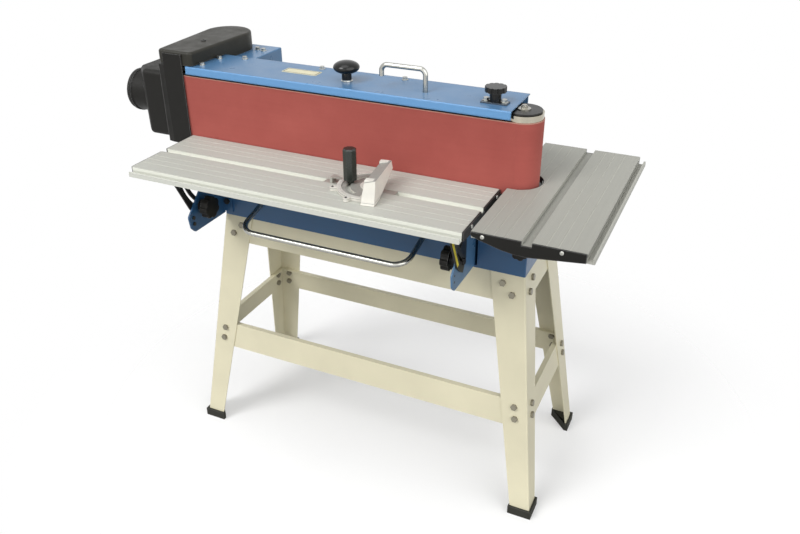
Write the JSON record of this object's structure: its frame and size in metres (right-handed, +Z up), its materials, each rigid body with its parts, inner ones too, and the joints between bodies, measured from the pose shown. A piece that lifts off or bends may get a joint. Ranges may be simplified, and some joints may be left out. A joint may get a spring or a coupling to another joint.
{
  "type": "edge sander",
  "caption": "Edge sander on a splayed sheet-metal stand: upright abrasive belt on two drums, tilting table with miter gauge, notched side table, covered belt drive and dust port.",
  "frame": {"origin": "on the floor, under the middle of the machine's plan", "axes": "+X along the belt towards the idler drum and side table, +Y from the operator to the back, +Z up"},
  "size_m": [1.1896, 0.5336, 0.9877],
  "materials": {
    "stand_paint": "satin cream paint",
    "blue_paint": "blue enamel",
    "black_paint": "satin black paint",
    "zinc": "bright zinc plate",
    "steel": "machined steel",
    "chrome": "bright chrome",
    "table_alloy": "brushed extrusion",
    "cast_alloy": "fine blasted casting",
    "cast_iron": "as cast",
    "graphite": "graphite-coated canvas",
    "abrasive": "coated abrasive",
    "rubber": "matt rubber",
    "black_plastic": "moulded, fine grain",
    "green_plastic": "gloss",
    "red_plastic": "gloss"
  },
  "bodies": {
    "machine_body": {"leg_front_left": "stand_paint", "leg_front_right": "stand_paint", "leg_rear_left": "stand_paint", "leg_rear_right": "stand_paint", "upper_rails_long": "stand_paint", "upper_rails_short": "stand_paint", "lower_rails_long": "stand_paint", "lower_rails_short": "stand_paint", "stand_feet": "rubber", "stand_bolts": "zinc", "base_housing": "blue_paint", "front_bar": "chrome", "tilt_bracket_left": "blue_paint", "tilt_bracket_right": "blue_paint", "bracket_screws": "zinc", "hinge_pins": "steel", "head_frame": "cast_iron", "platen_pad": "graphite", "sanding_belt": "abrasive", "top_cover": "blue_paint", "rear_guard": "blue_paint", "cover_bolts": "zinc", "tracking_plate": "zinc", "drive_bearings": "steel", "drive_belt": "rubber", "motor": "cast_alloy", "motor_housing": "blue_paint", "drive_cover": "black_plastic", "drive_cover_screw": "zinc", "drum_guard": "black_plastic", "dust_hood": "black_plastic", "switch_box": "black_plastic", "cable_gland": "black_plastic"},
    "tilting_table": {"main_table": "table_alloy", "table_end_plates": "black_plastic", "table_screws": "zinc", "tilt_arm_left": "black_paint", "tilt_arm_right": "black_paint"},
    "lock_knob_left": {"lock_knob_left": "black_plastic"},
    "lock_knob_right": {"lock_knob_right": "black_plastic"},
    "lifting_side_table": {"side_table": "table_alloy", "side_end_plates": "black_plastic", "side_screws": "zinc", "side_posts": "steel"},
    "side_knob": {"side_knob": "black_plastic"},
    "miter_bar": {"miter_bar": "steel"},
    "miter_head": {"miter_head": "cast_alloy"},
    "miter_handle": {"miter_handle": "black_plastic"},
    "drive_drum": {"drive_drum": "rubber", "drive_shaft": "steel", "drum_pulley": "cast_alloy"},
    "motor_pulley": {"motor_pulley": "cast_alloy"},
    "idler_yoke": {"idler_yoke": "cast_iron", "idler_axle": "steel"},
    "idler_drum": {"idler_drum": "cast_alloy"},
    "release_lever": {"release_lever": "chrome"},
    "tracking_knob": {"tracking_knob": "black_plastic"},
    "cover_knob": {"cover_knob": "black_plastic"},
    "start_button": {"start_button": "green_plastic"},
    "stop_button": {"stop_button": "red_plastic"}
  },
  "joints": [
    {"name": "table_tilt", "type": "hinge", "parent": "machine_body", "child": "tilting_table", "pos_m": [-0.0207, -0.05225, 0.751], "axis": [1, 0, 0], "range_deg": [0, 45]},
    {"name": "lock_knob_left_turn", "type": "hinge", "parent": "machine_body", "child": "lock_knob_left", "pos_m": [-0.3257, -0.13382, 0.64659], "axis": [1, 0, 0], "range_deg": [0, 180]},
    {"name": "lock_knob_right_turn", "type": "hinge", "parent": "machine_body", "child": "lock_knob_right", "pos_m": [0.3073, -0.13382, 0.64659], "axis": [-1, 0, 0], "range_deg": [0, 180]},
    {"name": "side_table_lift", "type": "slide", "parent": "machine_body", "child": "lifting_side_table", "axis": [0, 0, 1], "range_m": [-0.02, 0.012]},
    {"name": "side_knob_turn", "type": "hinge", "parent": "machine_body", "child": "side_knob", "pos_m": [0.4113, -0.04725, 0.654], "axis": [0, -1, 0], "range_deg": [0, 180]},
    {"name": "miter_slide", "type": "slide", "parent": "tilting_table", "child": "miter_bar", "axis": [1, 0, 0], "range_m": [-0.4, 0.17]},
    {"name": "miter_turn", "type": "hinge", "parent": "miter_bar", "child": "miter_head", "pos_m": [0.1203, -0.14715, 0.775], "axis": [0, 0, 1], "range_deg": [-54, 36]},
    {"name": "miter_handle_turn", "type": "hinge", "parent": "miter_bar", "child": "miter_handle", "pos_m": [0.0738, -0.14715, 0.775], "axis": [0, 0, 1], "range_deg": [0, 180]},
    {"name": "drive_drum_spin", "type": "hinge", "parent": "machine_body", "child": "drive_drum", "pos_m": [-0.4068, -0.00125, 0.765], "axis": [0, 0, 1], "continuous": true},
    {"name": "motor_spin", "type": "hinge", "parent": "machine_body", "child": "motor_pulley", "pos_m": [-0.4208, 0.16475, 0.943], "axis": [0, 0, 1], "continuous": true},
    {"name": "release_lever_turn", "type": "hinge", "parent": "machine_body", "child": "release_lever", "pos_m": [0.1713, 0.00375, 0.9365], "axis": [0, 0, 1], "range_deg": [-90, 0]},
    {"name": "idler_slide", "type": "slide", "parent": "machine_body", "child": "idler_yoke", "axis": [1, 0, 0], "range_m": [-0.005, 0]},
    {"name": "idler_drum_spin", "type": "hinge", "parent": "idler_yoke", "child": "idler_drum", "pos_m": [0.3813, -0.00125, 0.765], "axis": [0, 0, 1], "continuous": true},
    {"name": "tracking_knob_turn", "type": "hinge", "parent": "machine_body", "child": "tracking_knob", "pos_m": [0.3228, -0.00465, 0.9365], "axis": [0, 0, 1], "range_deg": [-180, 180]},
    {"name": "cover_knob_turn", "type": "hinge", "parent": "machine_body", "child": "cover_knob", "pos_m": [-0.0097, 0.00575, 0.9365], "axis": [0, 0, 1], "range_deg": [0, 180]},
    {"name": "start_press", "type": "slide", "parent": "machine_body", "child": "start_button", "axis": [-1, 0, 0], "range_m": [0, 0.004], "stiffness_N_per_m": 500},
    {"name": "stop_press", "type": "slide", "parent": "machine_body", "child": "stop_button", "axis": [-1, 0, 0], "range_m": [0, 0.004], "stiffness_N_per_m": 500}
  ],
  "couplings": [
    {"joint": "motor_spin", "follows": "drive_drum_spin", "ratio": 0.79866},
    {"joint": "idler_drum_spin", "follows": "drive_drum_spin", "ratio": 1},
    {"joint": "idler_slide", "follows": "release_lever_turn", "m_per_rad": 0.0031831}
  ]
}
